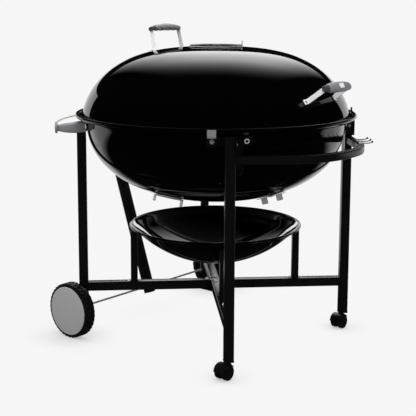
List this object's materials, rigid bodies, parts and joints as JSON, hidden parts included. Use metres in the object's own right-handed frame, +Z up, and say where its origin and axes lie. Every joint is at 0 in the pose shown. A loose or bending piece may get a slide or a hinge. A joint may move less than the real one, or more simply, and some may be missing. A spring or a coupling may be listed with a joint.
{
  "type": "kettle charcoal grill",
  "caption": "Large round charcoal kettle grill with a domed lid, ash pan and work rail on a wheeled square-tube trolley with swivel casters.",
  "frame": {"origin": "on the floor, under the middle of the overall width and depth; the kettle axis stands 7.9 mm to the +X side of it", "axes": "+Z up, +X towards the work rail and casters, -X towards the lid holder and the two large wheels, -Y is the front corner side"},
  "size_m": [1.133, 0.9992, 1.1151],
  "materials": {
    "black_enamel": "high gloss porcelain enamel",
    "satin_black": "satin powder coat",
    "stainless": "brushed",
    "plated_steel": "bright zinc or nickel plate, slightly dulled",
    "aluminium": "mill finish",
    "grey_nylon": "fine moulded texture",
    "black_nylon": "satin moulded",
    "wheel_black": "matt, lugged tread",
    "hubcap_grey": "soft gloss"
  },
  "bodies": {
    "trolley_and_bowl": {"bowl": "black_enamel", "beam_cross": "satin_black", "beam_front": "satin_black", "beam_back": "satin_black", "gusset_plate": "satin_black", "prop_tube": "satin_black", "work_rail": "satin_black", "rail_plate_fr": "satin_black", "rail_plate_br": "satin_black", "leg_fl": "satin_black", "leg_fr": "satin_black", "leg_br": "satin_black", "leg_bl": "satin_black", "bowl_bracket_fl": "satin_black", "bowl_bracket_fr": "satin_black", "bowl_bracket_br": "satin_black", "bowl_bracket_bl": "satin_black", "pan_post_fl": "satin_black", "pan_post_fr": "satin_black", "pan_post_br": "satin_black", "pan_post_bl": "satin_black", "lid_holder_grip_fl": "grey_nylon", "lid_holder_grip_bl": "grey_nylon", "lid_holder_wire": "plated_steel", "rim_keeper": "plated_steel", "tool_pegs": "plated_steel", "axle": "plated_steel", "cooking_grate": "plated_steel", "grate_ledge_a": "plated_steel", "grate_ledge_b": "plated_steel", "grate_ledge_c": "plated_steel", "leg_plug_fr": "black_nylon", "leg_plug_br": "black_nylon", "leg_cap_fr": "black_nylon", "leg_cap_br": "black_nylon"},
    "lid_assembly": {"lid": "black_enamel", "top_handle_strap_front": "stainless", "top_handle_strap_back": "stainless", "top_handle_grip": "grey_nylon", "side_handle_strap_front": "stainless", "side_handle_strap_back": "stainless", "side_handle_grip": "grey_nylon"},
    "lid_damper": {"lid_damper": "aluminium"},
    "bowl_damper_front": {"bowl_damper_front": "aluminium"},
    "bowl_damper_right": {"bowl_damper_right": "aluminium"},
    "bowl_damper_back": {"bowl_damper_back": "aluminium"},
    "bowl_damper_left": {"bowl_damper_left": "aluminium"},
    "wheel_fl": {"wheel_fl": "wheel_black", "hubcap_fl": "hubcap_grey"},
    "wheel_bl": {"wheel_bl": "wheel_black", "hubcap_bl": "hubcap_grey"},
    "caster_fr": {"caster_body_fr": "black_nylon"},
    "caster_br": {"caster_body_br": "black_nylon"},
    "rollers_fr": {"caster_rollers_fr": "black_nylon"},
    "rollers_br": {"caster_rollers_br": "black_nylon"},
    "grate_flap_left": {"grate_flap_left": "plated_steel"},
    "grate_flap_right": {"grate_flap_right": "plated_steel"},
    "ash_pan": {"ash_pan": "black_enamel"},
    "charcoal_grate": {"charcoal_grate": "plated_steel"}
  },
  "joints": [
    {"name": "lid_lift", "type": "slide", "parent": "trolley_and_bowl", "child": "lid_assembly", "axis": [0, 0, 1], "range_m": [0, 0.35]},
    {"name": "lid_damper_turn", "type": "hinge", "parent": "lid_assembly", "child": "lid_damper", "pos_m": [0.0079, 0, 1.042], "axis": [0, 0, 1], "range_deg": [0, 45]},
    {"name": "bowl_damper_right_turn", "type": "hinge", "parent": "trolley_and_bowl", "child": "bowl_damper_right", "pos_m": [0.2579, 0, 0.5348], "axis": [0.3256, 0, -0.9455], "range_deg": [0, 60]},
    {"name": "bowl_damper_back_turn", "type": "hinge", "parent": "trolley_and_bowl", "child": "bowl_damper_back", "pos_m": [0.0079, 0.25, 0.5348], "axis": [0, 0.3256, -0.9455], "range_deg": [0, 60]},
    {"name": "bowl_damper_left_turn", "type": "hinge", "parent": "trolley_and_bowl", "child": "bowl_damper_left", "pos_m": [-0.2421, 0, 0.5348], "axis": [-0.3256, 0, -0.9455], "range_deg": [0, 60]},
    {"name": "bowl_damper_front_turn", "type": "hinge", "parent": "trolley_and_bowl", "child": "bowl_damper_front", "pos_m": [0.0079, -0.25, 0.5348], "axis": [0, -0.3256, -0.9455], "range_deg": [0, 60]},
    {"name": "wheel_fl_spin", "type": "hinge", "parent": "trolley_and_bowl", "child": "wheel_fl", "pos_m": [-0.3301, -0.4, 0.099], "axis": [0, 1, 0], "continuous": true},
    {"name": "wheel_bl_spin", "type": "hinge", "parent": "trolley_and_bowl", "child": "wheel_bl", "pos_m": [-0.3301, 0.4, 0.099], "axis": [0, 1, 0], "continuous": true},
    {"name": "caster_fr_swivel", "type": "hinge", "parent": "trolley_and_bowl", "child": "caster_fr", "pos_m": [0.34611, -0.33821, 0.05], "axis": [0, 0, 1], "continuous": true},
    {"name": "caster_fr_roll", "type": "hinge", "parent": "caster_fr", "child": "rollers_fr", "pos_m": [0.34611, -0.36021, 0.025], "axis": [1, 0, 0], "continuous": true},
    {"name": "caster_br_swivel", "type": "hinge", "parent": "trolley_and_bowl", "child": "caster_br", "pos_m": [0.34611, 0.33821, 0.05], "axis": [0, 0, 1], "continuous": true},
    {"name": "caster_br_roll", "type": "hinge", "parent": "caster_br", "child": "rollers_br", "pos_m": [0.34611, 0.31621, 0.025], "axis": [1, 0, 0], "continuous": true},
    {"name": "grate_flap_left_fold", "type": "hinge", "parent": "trolley_and_bowl", "child": "grate_flap_left", "pos_m": [-0.2421, 0, 0.772], "axis": [0, 1, 0], "range_deg": [0, 88]},
    {"name": "grate_flap_right_fold", "type": "hinge", "parent": "trolley_and_bowl", "child": "grate_flap_right", "pos_m": [0.2579, 0, 0.772], "axis": [0, -1, 0], "range_deg": [0, 88]},
    {"name": "charcoal_grate_lift", "type": "slide", "parent": "trolley_and_bowl", "child": "charcoal_grate", "axis": [0, 0, 1], "range_m": [0, 0.08]},
    {"name": "ash_pan_lift", "type": "slide", "parent": "trolley_and_bowl", "child": "ash_pan", "axis": [0, 0, 1], "range_m": [0, 0.05]}
  ]
}
